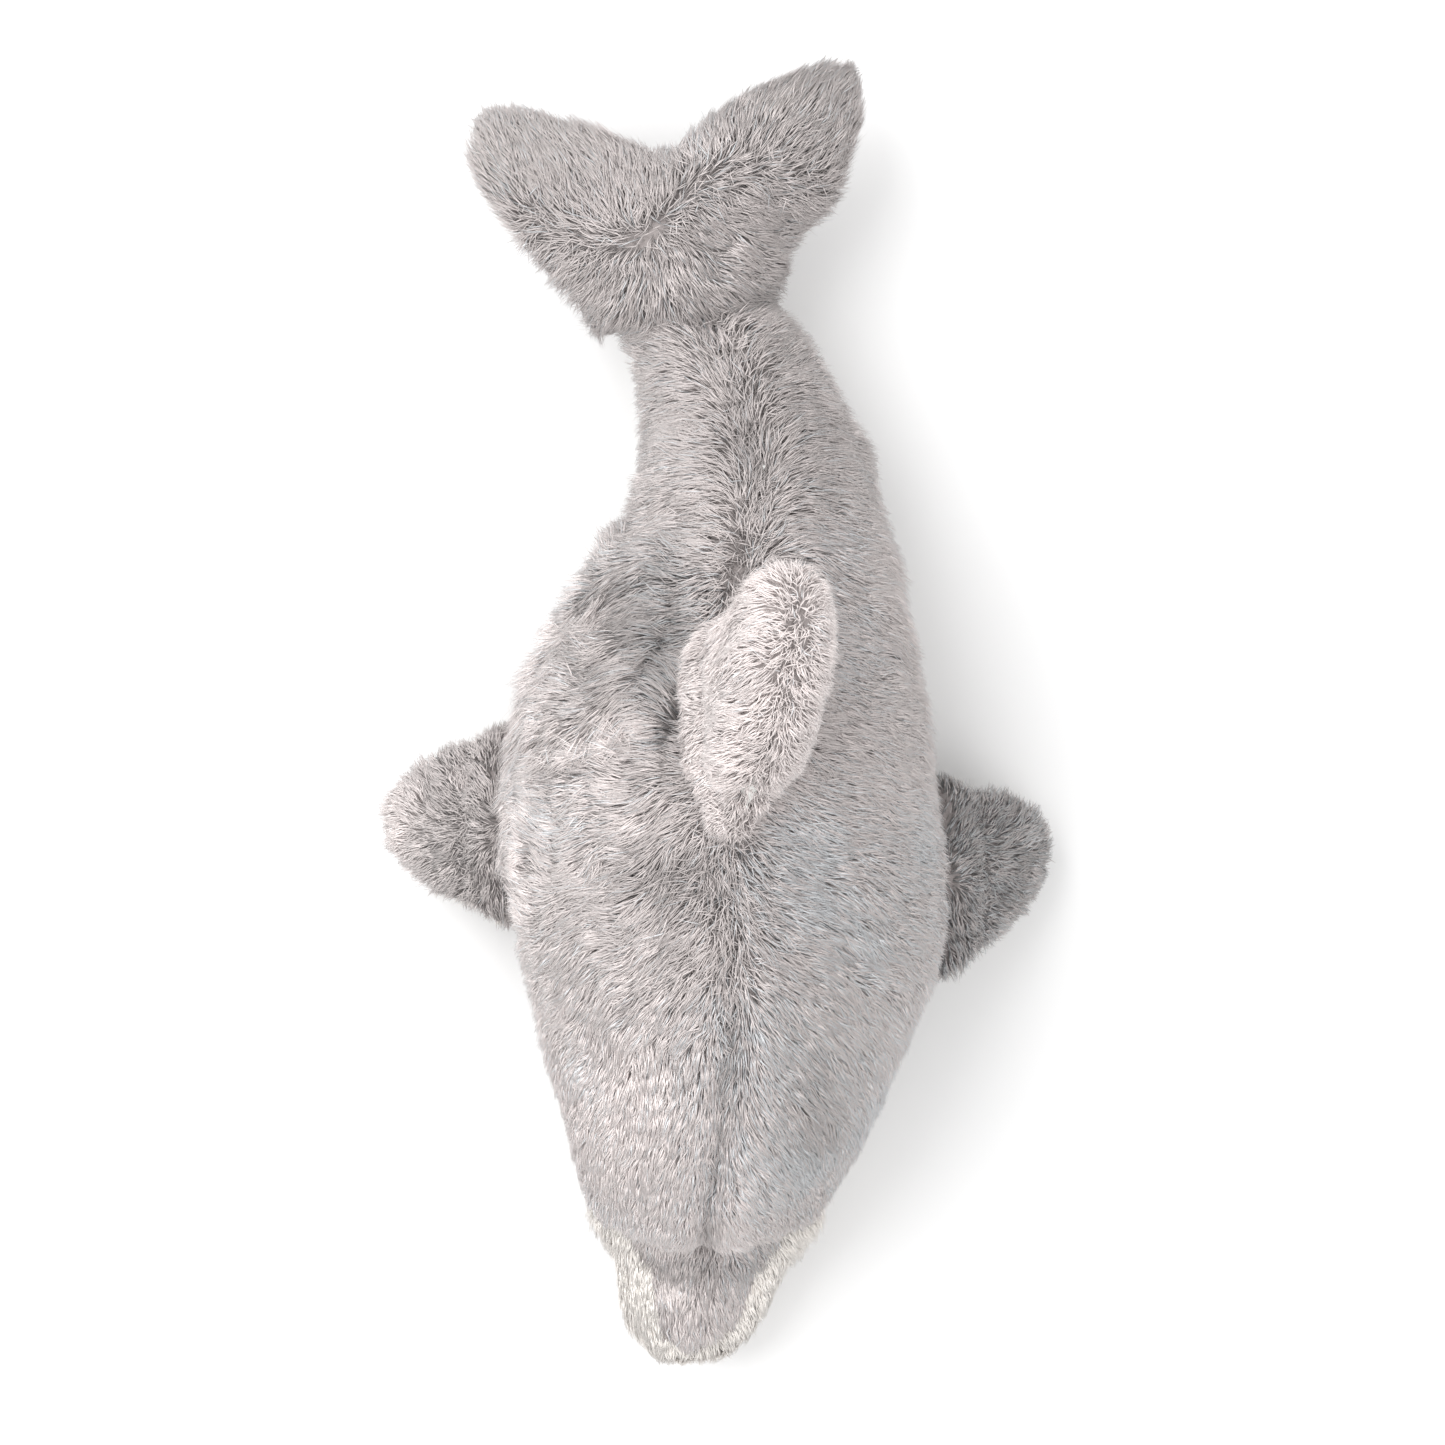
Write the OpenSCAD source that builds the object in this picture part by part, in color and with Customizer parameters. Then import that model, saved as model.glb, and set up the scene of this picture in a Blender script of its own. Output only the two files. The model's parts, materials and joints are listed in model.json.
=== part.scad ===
// Plush dolphin: a stuffed toy of long-pile fabric panels sewn over fibre filling, lying on its belly.
// Millimetres, +Z up. The head points to -Y and the tail to +Y. The origin is on the floor, under the
// middle of the toy's box. Every panel is as thick as its cloth and flattened pile together.

/* [Body] */
// Length of the body from the tip of the beak to the bend of the tail
body_length = 331; // [310:1:345]
// Width of the body at its widest, over the pile of the fabric
body_width = 165; // [150:1:175]
// Height of the back above the floor
body_height = 143; // [130:1:155]
// Place of the tip of the beak along Y
beak_tip_y = -246; // [-250:1:-244]

/* [Tail] */
// Length of the tail stem from the bend to the flukes
stem_length = 65; // [60:1:66]
// Turn of the flukes about Z, to the right of straight back
fluke_turn = 14; // [8:1:18]
// Thickness of the flukes at their middle
fluke_thickness = 36; // [28:1:40]

/* [Fins] */
// Height of the hinge line of the dorsal fin above the floor
fin_hinge_z = 140; // [140:1:144]
// Lean of the dorsal fin to the left
fin_lean = 21; // [0:1:23]
// Thickness of the dorsal fin at its middle
fin_thickness = 42; // [34:1:44]
// Thickness of a flipper at its middle
flipper_thickness = 26; // [20:1:28]
// Slope of the right flipper below the level
right_flipper_slope = 35; // [25:1:38]
// Slope of the left flipper below the level
left_flipper_slope = 45; // [30:1:46]

/* [Fabric] */
// Thickness of a panel, cloth and flattened pile together
skin = 5; // [4:0.5:5]
// Gap between a panel and the filling behind it
slack = 0.8; // [0.6:0.1:1]

/* [Eyes] */
// Diameter of an eye
eye_diameter = 12; // [10:1:14]
// Diameter of the washer that locks an eye inside the skin
washer_diameter = 17; // [15:1:20]

/* [Hidden] */

grey = [0.76, 0.73, 0.72];
cool_grey = [0.62, 0.61, 0.63];
cream = [0.95, 0.93, 0.9];
fibre = [0.98, 0.98, 0.96];
black = [0.05, 0.05, 0.06];
nylon = [0.85, 0.85, 0.82];

// Cross sections of the body from the beak to the bend of the tail, in hundredths of its length, width
// and height: distance along, centre, half width, top, widest level, bottom, then in degrees the seam
// between grey and cream above the widest level, the turn of the section and the cut of its end.
body_rows = [
    [0, -6.5, 0.6, 20, 19, 18.5, 30, 0, 0],
    [0.6, -6.3, 7, 25, 19.5, 14, 32, 0, 0],
    [2, -5.8, 11.5, 29, 19.5, 9, 36, 0, 0],
    [5, -4.5, 17, 32, 20, 5.5, 42, 0, 0],
    [8, -3.6, 20, 34, 20, 3.5, 45, 0, 0],
    [11, -2.8, 22, 36, 21, 1.5, 45, 0, 0],
    [12.5, -2.4, 23.3, 39, 22, 0.7, 40, 0, 0],
    [14, -2, 25, 52, 23, 0, 30, 0, 0],
    [15.7, -2, 26.8, 63, 25, -1, 18, 0, 0],
    [18.7, -1.8, 28.6, 73, 29, -2, 4, 0, 0],
    [23, -0.2, 31.8, 81, 34, -3.5, -14, 0, 0],
    [29, 1.5, 36.4, 88, 38, -5, -25, 0, 0],
    [37, 2.4, 42.2, 94, 41, -6, -28, 0, 0],
    [46, 3.6, 47.2, 98, 43, -7, -30, 0, 0],
    [56.5, 2.5, 50, 100, 43, -7, -30, 0, 0],
    [67, 1.5, 49.5, 99, 43, -7, -30, 0, 0],
    [77.5, 2.5, 45.5, 95, 42, -6, -31, 0, 0],
    [86.5, 4.5, 39.5, 88, 40, -4, -33, 0, 0],
    [92.5, 7.5, 34.5, 81, 38, -1.5, -36, 0, 0],
    [97, 9.5, 28.6, 74, 36, 1.5, -40, 0, 0],
    [100, 10.2, 25.6, 70, 36, 4, -42, 0, 0]];
melon_row = 6.4;
middle_x = -1;

// The same for the tail stem, along it in hundredths of the stem's length.
stem_rows = [
    [0, 10.2, 25.5, 69, 36, 5.5, -42, 0, 20],
    [23, 8.9, 24.5, 64, 36, 8.5, -44, 3, 6],
    [47, 6, 22.7, 60, 35, 12, -45, 7, 0],
    [72, 2.4, 20.5, 54, 34, 17, -46, 11, 0],
    [100, -2.4, 17.6, 47, 34, 22, -47, fluke_turn, 0]];

// The tail bends sideways about an upright line a little behind the end of the body.
body_end_y = beak_tip_y + body_length;
bend_gap = 1;
stem_start_y = body_end_y + bend_gap;
stem_end_y = stem_start_y + stem_length;

// The flukes flap about a level line across the end of the stem.
fluke_hinge = [middle_x - 2.4 / 100 * body_width, stem_end_y + 1.5, 0.345 * body_height];
root_gap = 3;
fluke_outline = [
    [0, 0], [14, 0], [26, 3], [39, 16], [57, 30], [70, 47], [76, 61], [75, 72], [66, 77], [54, 76],
    [40, 74], [25, 69], [8, 60], [-3, 56], [-12, 63], [-22, 72], [-38, 83], [-54, 89], [-65, 86],
    [-71, 75], [-68, 59], [-54, 34], [-43, 15], [-34, 3], [-14, 0]];
fluke_middle = [0, 34];

// The dorsal fin leans about a line along the back, which drops towards the tail.
fin_hinge = [7, 0, fin_hinge_z];
fin_slope = 10;
fin_outline = [
    [0, 0], [20, 0], [36, 2], [38, 15], [42, 30], [48, 43], [47, 53], [38, 59], [24, 60], [8, 55],
    [-10, 45], [-28, 29], [-41, 13], [-46, 3], [-22, 0]];
fin_middle = [4, 26];

// Each flipper flaps about a level line along the side of the body. The left one is swept back: each
// point of its outline moves towards the tail in proportion to its distance from the hinge.
flipper_outline = [
    [0, 0], [-20, 0], [-33, 2], [-31, 14], [-27, 27], [-19, 41], [-8, 50], [5, 53], [16, 47],
    [25, 34], [31, 17], [33, 2], [20, 0]];
flipper_middle = [0, 25];
left_flipper_sweep = 0.2;
left_flipper_outline = [for (p = flipper_outline) swept(p)];
left_flipper_middle = swept(flipper_middle);
right_flipper_hinge = [-82, -41, 45];
left_flipper_hinge = [87, -61, 50];

// The eyes sit on the sides of the head, just under its widest level.
eye_row = 10.7;
eye_angle = -15;
washer_gap = 1.5;
washer_thickness = 2;
shank_radius = 2.5;
shank_depth = 6;

// Fineness of the faceted surfaces
row_steps = 2;
panel_steps = 9;
belly_steps = 17;
filling_steps = 24;
outline_steps = 2;
seam_gap = 0.25;
ring_fractions = [0.3, 0.56, 0.76, 0.9, 1];

function blend4(a, b, c, d, t) =
    0.5 * (2 * b + (c - a) * t + (2 * a - 5 * b + 4 * c - d) * t * t + (3 * b - a - 3 * c + d) * t * t * t);
function pick(rows, i) = rows[max(0, min(len(rows) - 1, i))];
function row_at(rows, s) =
    let (i = min(floor(s), len(rows) - 2))
    blend4(pick(rows, i - 1), rows[i], rows[i + 1], pick(rows, i + 2), s - i);
function closed_curve(points, steps) =
    let (n = len(points))
    [for (i = [0:n - 1]) for (j = [0:steps - 1])
        blend4(points[(i + n - 1) % n], points[i], points[(i + 1) % n], points[(i + 2) % n], j / steps)];
function swept(p) = [p[0] + left_flipper_sweep * p[1], p[1]];
function power(v, e) = sign(v) * pow(abs(v), e);

// One point of a cross section, at an angle from the left round over the back, moved in by inset
function section_point(r, angle, inset, start_y, length, tip_inset) =
    let (half = max(r[2] / 100 * body_width - inset, 0.4),
        level = r[4] / 100 * body_height,
        rise = max((r[3] - r[4]) / 100 * body_height - inset, 0.4),
        fall = max((r[4] - r[5]) / 100 * body_height - inset, 0.4),
        dx = half * power(cos(angle), 0.92),
        dz = sin(angle) > 0 ? rise * power(sin(angle), 0.95) : fall * power(sin(angle), 0.85),
        y = start_y + tip_inset + r[0] / 100 * (length - tip_inset))
    [middle_x + r[1] / 100 * body_width + dx * cos(r[7]),
        y + dx * sin(r[7]) + abs(dx) * tan(r[8]),
        max(level + dz, inset)];

// A grid of such points over a patch of the surface. The sides run at multiples of the seam's angle
// from a fixed angle: from_seam and to_seam are -1, 0 or 1.
function patch(rows, s0, s1, from, from_seam, to, to_seam, steps, inset, start_y, length, tip_inset) =
    let (n = max(1, round((s1 - s0) * row_steps)))
    [for (k = [0:n])
        let (r = row_at(rows, s0 + (s1 - s0) * k / n),
            a = from + from_seam * r[6] + seam_gap,
            b = to + to_seam * r[6] - seam_gap)
        [for (j = [0:steps]) section_point(r, a + (b - a) * j / steps, inset, start_y, length, tip_inset)]];

function flat(grid) = [for (row = grid) each row];
function grid_faces(rows, columns, base, turned) =
    [for (i = [0:rows - 2]) for (j = [0:columns - 2])
        let (a = base + i * columns + j, b = a + 1, c = a + columns + 1, d = a + columns)
        each (turned ? [[a, c, b], [a, d, c]] : [[a, b, c], [a, c, d]])];

// Closed sheet between an outer and an inner grid
module sheet(outer, inner) {
    rows = len(outer);
    columns = len(outer[0]);
    n = rows * columns;
    last = (rows - 1) * columns;
    sides = concat(
        [for (i = [0:rows - 2]) let (a = i * columns, b = a + columns)
            each [[a, b, b + n], [a, b + n, a + n]]],
        [for (i = [0:rows - 2]) let (a = i * columns + columns - 1, b = a + columns)
            each [[a, b + n, b], [a, a + n, b + n]]],
        [for (j = [0:columns - 2]) each [[j, j + n + 1, j + 1], [j, j + n, j + n + 1]]],
        [for (j = [0:columns - 2]) let (a = last + j)
            each [[a, a + 1, a + n + 1], [a, a + n + 1, a + n]]]);
    polyhedron(concat(flat(outer), flat(inner)),
        concat(grid_faces(rows, columns, 0, false), grid_faces(rows, columns, n, true), sides));
}

module skin_patch(rows, s0, s1, from, from_seam, to, to_seam, steps, start_y, length, tip_inset) {
    sheet(patch(rows, s0, s1, from, from_seam, to, to_seam, steps, 0, start_y, length, 0),
        patch(rows, s0, s1, from, from_seam, to, to_seam, steps, skin, start_y, length, tip_inset));
}

// Closed solid of the filling inside the panels, with a fan of faces at each end
module stuffing(rows, start_y, length, tip_inset) {
    inset = skin + slack;
    n = (len(rows) - 1) * row_steps;
    m = filling_steps;
    rings = [for (k = [0:n]) let (r = row_at(rows, k / row_steps))
        [for (j = [0:m - 1]) section_point(r, 360 * j / m, inset, start_y, length, tip_inset)]];
    points = concat(flat(rings), [middle(rings[0]), middle(rings[n])]);
    first_cap = (n + 1) * m;
    polyhedron(points, concat(
        [for (i = [0:n - 1]) for (j = [0:m - 1])
            let (a = i * m + j, b = i * m + (j + 1) % m, c = b + m, d = a + m)
            each [[a, b, c], [a, c, d]]],
        [for (j = [0:m - 1]) [first_cap, (j + 1) % m, j]],
        [for (j = [0:m - 1]) [first_cap + 1, n * m + j, n * m + (j + 1) % m]]));
}

// The point on the upright middle line of a ring, halfway up
function middle(ring) =
    let (q = len(ring) / 4) (ring[q] + ring[3 * q]) / 2;

// Half thickness of a padded fin at a fraction of the way from its middle to its edge
function pad(f, half, edge) = edge + (half - edge) * sqrt(1 - pow(f, 2.4));

function fin_rings(outline, centre, half, edge) =
    let (curve = closed_curve(outline, outline_steps))
    [for (f = ring_fractions) [for (p = curve)
        let (q = centre + (p - centre) * f) [q[0], q[1], pad(f, half, edge)]]];

function ring_faces(m, base, turned) =
    concat(
        [for (j = [0:m - 1]) let (a = base + 1 + j, b = base + 1 + (j + 1) % m)
            turned ? [base, b, a] : [base, a, b]],
        [for (i = [0:len(ring_fractions) - 2]) for (j = [0:m - 1])
            let (a = base + 1 + i * m + j, b = base + 1 + i * m + (j + 1) % m, c = b + m, d = a + m)
            each (turned ? [[a, b, c], [a, c, d]] : [[a, c, b], [a, d, c]])]);

// Closed solid between two domed faces that share an outline, the upper one first
module dome_pair(centre, upper, lower) {
    m = len(upper[0]);
    n = 1 + m * len(upper);
    rim = n - m;
    points = concat([[centre[0], centre[1], upper[0][0][2]]], flat(upper),
        [[centre[0], centre[1], lower[0][0][2]]], flat(lower));
    polyhedron(points, concat(ring_faces(m, 0, true), ring_faces(m, n, false),
        [for (j = [0:m - 1]) let (a = rim + j, b = rim + (j + 1) % m)
            each [[a, b, b + n], [a, b + n, a + n]]]));
}

function lowered(rings, drop, floor_z) =
    [for (ring = rings) [for (p = ring) [p[0], p[1], max(p[2] - drop, floor_z)]]];
function flipped(rings) = [for (ring = rings) [for (p = ring) [p[0], p[1], -p[2]]]];

// One of the two panels of a fin, above its own middle plane
module fin_panel(outline, centre, thickness) {
    outer = fin_rings(outline, centre, thickness / 2, 3);
    dome_pair(centre, outer, lowered(outer, skin, 0.2));
}

module fin_stuffing(outline, centre, thickness) {
    small = [for (p = outline) centre + (p - centre) * 0.88];
    rings = fin_rings(small, centre, thickness / 2 - skin - slack, 0.6);
    dome_pair(centre, rings, flipped(rings));
}

module on_fluke() {
    translate(fluke_hinge) rotate([0, 0, fluke_turn]) translate([0, root_gap, 0]) children();
}

module on_fin() {
    translate(fin_hinge) rotate([-fin_slope, 0, 0]) rotate([0, fin_lean, 0])
        rotate([90, 0, 90]) translate([0, root_gap, 0]) children();
}

module on_right_flipper() {
    translate(right_flipper_hinge) rotate([0, -right_flipper_slope, 0])
        rotate([0, 0, 90]) translate([0, root_gap, 0]) children();
}

module on_left_flipper() {
    translate(left_flipper_hinge) rotate([0, left_flipper_slope, 0]) mirror([1, 0, 0])
        rotate([0, 0, 90]) translate([0, root_gap, 0]) children();
}

module underside() {
    mirror([0, 0, 1]) children();
}

// Places its children at an eye's seat, with +Z out of the head. side is 1 on the left and -1 on the right.
module at_eye(side) {
    r = row_at(body_rows, eye_row);
    seat = section_point(r, side > 0 ? eye_angle : 180 - eye_angle, 0, beak_tip_y, body_length, 0);
    translate(seat) rotate([0, 0, side > 0 ? -17 : 197]) rotate([0, 90 - eye_angle / 2, 0]) children();
}

module eye() {
    dome = 4.5;
    sunk = 3;
    ball = (pow(eye_diameter / 2, 2) + dome * dome) / (2 * dome);
    translate([0, 0, -sunk]) intersection() {
        translate([0, 0, dome - ball]) sphere(r = ball, $fn = 48);
        cylinder(h = dome + 1, r = eye_diameter / 2, $fn = 48);
    }
    shank = skin + shank_depth - sunk + 1;
    translate([0, 0, -skin - shank_depth]) cylinder(h = shank, r = shank_radius, $fn = 32);
}

module eye_washer() {
    translate([0, 0, -skin - washer_gap - washer_thickness]) difference() {
        cylinder(h = washer_thickness, r = washer_diameter / 2, $fn = 48);
        translate([0, 0, -1]) cylinder(h = washer_thickness + 2, r = shank_radius, $fn = 32);
    }
}

module back_panel_right() {
    color(grey) skin_patch(body_rows, melon_row + 0.05, len(body_rows) - 1, 90, 0, 180, -1, panel_steps,
        beak_tip_y, body_length, skin);
}

module back_panel_left() {
    color(cool_grey) skin_patch(body_rows, melon_row + 0.05, len(body_rows) - 1, 0, 1, 90, 0, panel_steps,
        beak_tip_y, body_length, skin);
}

module belly_panel() {
    color(cream) skin_patch(body_rows, 0, len(body_rows) - 1, 180, -1, 360, 1, belly_steps,
        beak_tip_y, body_length, skin);
}

module beak_top_panel() {
    color(grey) skin_patch(body_rows, 0, melon_row, 0, 1, 180, -1, panel_steps,
        beak_tip_y, body_length, skin);
}

module body_filling() {
    color(fibre) stuffing(body_rows, beak_tip_y, body_length, skin + slack);
}

module right_eye() {
    color(black) at_eye(-1) eye();
}

module left_eye() {
    color(black) at_eye(1) eye();
}

module right_eye_washer() {
    color(nylon) at_eye(-1) eye_washer();
}

module left_eye_washer() {
    color(nylon) at_eye(1) eye_washer();
}

module tail_panel_right() {
    color(grey) skin_patch(stem_rows, 0, len(stem_rows) - 1, 90, 0, 180, -1, panel_steps,
        stem_start_y, stem_length, 0);
}

module tail_panel_left() {
    color(cool_grey) skin_patch(stem_rows, 0, len(stem_rows) - 1, 0, 1, 90, 0, panel_steps,
        stem_start_y, stem_length, 0);
}

module tail_belly_panel() {
    color(cream) skin_patch(stem_rows, 0, len(stem_rows) - 1, 180, -1, 360, 1, belly_steps,
        stem_start_y, stem_length, 0);
}

module tail_filling() {
    color(fibre) stuffing(stem_rows, stem_start_y, stem_length, 0);
}

module fluke_top_panel() {
    color(grey) on_fluke() fin_panel(fluke_outline, fluke_middle, fluke_thickness);
}

module fluke_bottom_panel() {
    color(cool_grey) on_fluke() underside() fin_panel(fluke_outline, fluke_middle, fluke_thickness);
}

module fluke_filling() {
    color(fibre) on_fluke() fin_stuffing(fluke_outline, fluke_middle, fluke_thickness);
}

module dorsal_fin_right_panel() {
    color(grey) on_fin() underside() fin_panel(fin_outline, fin_middle, fin_thickness);
}

module dorsal_fin_left_panel() {
    color(cool_grey) on_fin() fin_panel(fin_outline, fin_middle, fin_thickness);
}

module dorsal_fin_filling() {
    color(fibre) on_fin() fin_stuffing(fin_outline, fin_middle, fin_thickness);
}

module right_flipper_top_panel() {
    color(grey) on_right_flipper() fin_panel(flipper_outline, flipper_middle, flipper_thickness);
}

module right_flipper_bottom_panel() {
    color(cream) on_right_flipper() underside()
        fin_panel(flipper_outline, flipper_middle, flipper_thickness);
}

module right_flipper_filling() {
    color(fibre) on_right_flipper() fin_stuffing(flipper_outline, flipper_middle, flipper_thickness);
}

module left_flipper_top_panel() {
    color(cool_grey) on_left_flipper()
        fin_panel(left_flipper_outline, left_flipper_middle, flipper_thickness);
}

module left_flipper_bottom_panel() {
    color(cream) on_left_flipper() underside()
        fin_panel(left_flipper_outline, left_flipper_middle, flipper_thickness);
}

module left_flipper_filling() {
    color(fibre) on_left_flipper()
        fin_stuffing(left_flipper_outline, left_flipper_middle, flipper_thickness);
}

back_panel_right();
back_panel_left();
belly_panel();
beak_top_panel();
body_filling();
right_eye();
left_eye();
right_eye_washer();
left_eye_washer();
tail_panel_right();
tail_panel_left();
tail_belly_panel();
tail_filling();
fluke_top_panel();
fluke_bottom_panel();
fluke_filling();
dorsal_fin_right_panel();
dorsal_fin_left_panel();
dorsal_fin_filling();
right_flipper_top_panel();
right_flipper_bottom_panel();
right_flipper_filling();
left_flipper_top_panel();
left_flipper_bottom_panel();
left_flipper_filling();
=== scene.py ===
"""Looks of the plush dolphin: fur-fabric panels, their pile, the fibre filling and the eyes, round the
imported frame."""
import json
import math

import bmesh
import bpy
import numpy as np
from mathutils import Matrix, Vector, noise
from mathutils.bvhtree import BVHTree
from mathutils.kdtree import KDTree


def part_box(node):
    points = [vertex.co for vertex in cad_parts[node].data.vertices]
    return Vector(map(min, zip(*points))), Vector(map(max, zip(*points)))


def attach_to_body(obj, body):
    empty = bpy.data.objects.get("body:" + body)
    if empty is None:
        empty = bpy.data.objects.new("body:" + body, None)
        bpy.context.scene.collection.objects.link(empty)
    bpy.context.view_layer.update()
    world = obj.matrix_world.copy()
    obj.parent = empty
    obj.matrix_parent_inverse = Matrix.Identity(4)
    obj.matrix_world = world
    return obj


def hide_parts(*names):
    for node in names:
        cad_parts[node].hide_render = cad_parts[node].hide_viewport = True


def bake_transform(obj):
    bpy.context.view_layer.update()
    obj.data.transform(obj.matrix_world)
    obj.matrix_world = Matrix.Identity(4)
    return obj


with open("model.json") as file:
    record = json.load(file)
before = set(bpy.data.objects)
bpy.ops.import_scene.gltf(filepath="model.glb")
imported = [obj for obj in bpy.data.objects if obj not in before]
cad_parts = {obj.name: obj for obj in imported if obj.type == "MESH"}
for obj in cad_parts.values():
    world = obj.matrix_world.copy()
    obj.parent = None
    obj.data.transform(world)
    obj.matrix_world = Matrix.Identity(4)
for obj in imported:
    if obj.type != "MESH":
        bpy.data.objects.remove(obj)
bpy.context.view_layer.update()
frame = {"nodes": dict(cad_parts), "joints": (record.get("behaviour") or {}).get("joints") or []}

MM = 0.001
SEED = 7
RNG = np.random.default_rng(SEED)

# Places where the toy bends, and distances from them before and after each bend
JOINTS = {j["name"]: j for j in frame["joints"]}
BEND = np.array(JOINTS["tail_sway"]["pos_m"])
CREASE = np.array(JOINTS["fluke_flap"]["pos_m"])
CREASE_AXIS = np.array(JOINTS["fluke_flap"]["axis"])
FLUKE_BACK = np.cross((0, 0, 1), CREASE_AXIS)
FIN_HINGE = np.array(JOINTS["dorsal_fin_lean"]["pos_m"])
FIN_AXIS = np.array(JOINTS["dorsal_fin_lean"]["axis"])
BEND_START, BEND_END = -20 * MM, 19 * MM
CREASE_START, CREASE_END = -13 * MM, 12 * MM
FIN_BEND_START, FIN_BEND_END = -4 * MM, 8 * MM

# CAD panels of the skin that runs from the beak to the flukes, by the part of it that they cover
TORSO, STEM, FLUKES = range(3)
PANELS = {TORSO: ["back_panel_left", "back_panel_right", "belly_panel", "beak_top_panel"],
          STEM: ["tail_panel_left", "tail_panel_right", "tail_belly_panel"],
          FLUKES: ["fluke_top_panel", "fluke_bottom_panel"]}
CREAM_PANELS = ["belly_panel", "tail_belly_panel", "left_flipper_bottom_panel", "right_flipper_bottom_panel"]
CREAM_SLOT, GREY_SLOT = "cream_fabric", "grey_fabric"

# Sizes of the faces of the surfaces
VOXEL = 3 * MM
FIN_VOXEL = 2.2 * MM
FILLING_VOXEL = 4 * MM

# Cloth: its thickness, how far it lies inside the CAD solids, and its lowest place above the floor
CLOTH = 1.4 * MM
SKIN_INSET = 1.2 * MM
BODY_INSET = 5 * MM
FIN_INSET = 4 * MM
CLOTH_FLOOR = 1.8 * MM

# Stuffing: frames of the simulation, steps of the pinning, and the furthest that the skin may swell
FRAMES = 16
PIN_STEPS = 10
BODY_SWELL = 2.5 * MM
FIN_SWELL = 1.5 * MM

# Hollow round each eye: its reach in the cloth and in the pile, its depth, and the bare edge of the eye
EYE_HOLLOW = 14 * MM
EYE_PARTING = 15 * MM
EYE_DEPTH = 2.5 * MM
EYE_EDGE = 1.5 * MM

PILE = 13 * MM
STRAND_WIDTH = 0.52 * MM
DENSITY = 1.25e6
FLOOR_GAP = 0.4 * MM
CHUNK = 19000

# Lie of the pile: random spread, strands in a tuft, size of a lock, curl, depth of the root in the
# cloth, and how far a tip strays from its tuft's leader or is drawn to it
SPREAD = 0.26
TUFT = 22
LOCK = 8 * MM
CURL = 0.5 * MM
ROOT_DEPTH = 1.0 * MM
TIP_STRAY = 0.5 * MM
TIP_DRAW = 5 * MM

# Tones: how much darker a root is and how much lighter a tip, and how far the cream pile is raised
ROOT_SHADE = 0.14
TIP_SHADE = 0.04
CREAM_TONE = 0.36
DARKEST_CREAM = 0.94


# ---------------------------------------------------------------- arrays and meshes

def unit(v):
    return v / np.maximum(np.linalg.norm(v, axis=-1, keepdims=True), 1e-12)


def smoothstep(x, low, high):
    t = np.clip((x - low) / (high - low), 0, 1)
    return t * t * (3 - 2 * t)


def bump(x, width):
    return np.exp(-((x / width) ** 2))


def join_arrays(parts):
    """Vertices and faces of several meshes, as one."""
    points, faces, base = [], [], 0
    for co, part_faces in parts:
        points.append(co)
        faces.append(part_faces + base)
        base += len(co)
    return np.vstack(points), np.vstack(faces)


def node_arrays(names):
    """Vertices and triangles of several CAD nodes, joined."""
    parts = []
    for name in names:
        mesh = frame["nodes"][name].data
        co = np.zeros(len(mesh.vertices) * 3)
        mesh.vertices.foreach_get("co", co)
        mesh.calc_loop_triangles()
        tri = np.zeros(len(mesh.loop_triangles) * 3, int)
        mesh.loop_triangles.foreach_get("vertices", tri)
        parts.append((co.reshape(-1, 3), tri.reshape(-1, 3)))
    return join_arrays(parts)


def hull_arrays(points):
    """Convex hull of some points, as vertices and triangles."""
    bm = bmesh.new()
    for p in points:
        bm.verts.new(p)
    made = bmesh.ops.convex_hull(bm, input=bm.verts)
    loose = [g for g in made["geom_interior"] if isinstance(g, bmesh.types.BMVert)]
    bmesh.ops.delete(bm, geom=loose, context="VERTS")
    bmesh.ops.triangulate(bm, faces=bm.faces)
    bm.verts.index_update()
    co = np.array([v.co for v in bm.verts])
    tri = np.array([[v.index for v in f.verts] for f in bm.faces])
    bm.free()
    return co, tri


def new_mesh(name, co, faces):
    mesh = bpy.data.meshes.new(name)
    mesh.from_pydata(co.tolist(), [], [list(map(int, f)) for f in faces])
    mesh.update()
    mesh.polygons.foreach_set("use_smooth", np.ones(len(mesh.polygons), bool))
    return mesh


def new_object(name, mesh):
    obj = bpy.data.objects.new(name, mesh)
    bpy.context.scene.collection.objects.link(obj)
    return obj


def take_result(obj):
    """Points and face corners that an object's modifiers give. The object is then removed."""
    done = obj.evaluated_get(bpy.context.evaluated_depsgraph_get())
    mesh = done.to_mesh()
    co = np.zeros(len(mesh.vertices) * 3)
    mesh.vertices.foreach_get("co", co)
    corners = np.zeros(len(mesh.loops), int)
    mesh.loops.foreach_get("vertex_index", corners)
    done.to_mesh_clear()
    data = obj.data
    bpy.data.objects.remove(obj)
    bpy.data.meshes.remove(data)
    return co.reshape(-1, 3), corners


def voxel_union(co, faces, voxel):
    """One closed quad surface round all the solids given."""
    obj = new_object("remesh_source", new_mesh("remesh_source", co, faces))
    mod = obj.modifiers.new("remesh", "REMESH")
    mod.mode = "VOXEL"
    mod.voxel_size = voxel
    mod.adaptivity = 0
    co, corners = take_result(obj)
    return co, corners.reshape(-1, 4)


def edges_of(faces):
    e = np.vstack([faces[:, [i, (i + 1) % faces.shape[1]]] for i in range(faces.shape[1])])
    return np.unique(np.sort(e, axis=1), axis=0)


def relax(co, edges, steps):
    """Smoothing: each step moves every point halfway to the middle of its neighbours."""
    count = np.bincount(edges.ravel(), minlength=len(co))[:, None]
    for _ in range(steps):
        total = np.zeros_like(co)
        np.add.at(total, edges[:, 0], co[edges[:, 1]])
        np.add.at(total, edges[:, 1], co[edges[:, 0]])
        co = co + (total / np.maximum(count, 1) - co) * 0.5
    return co


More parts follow.
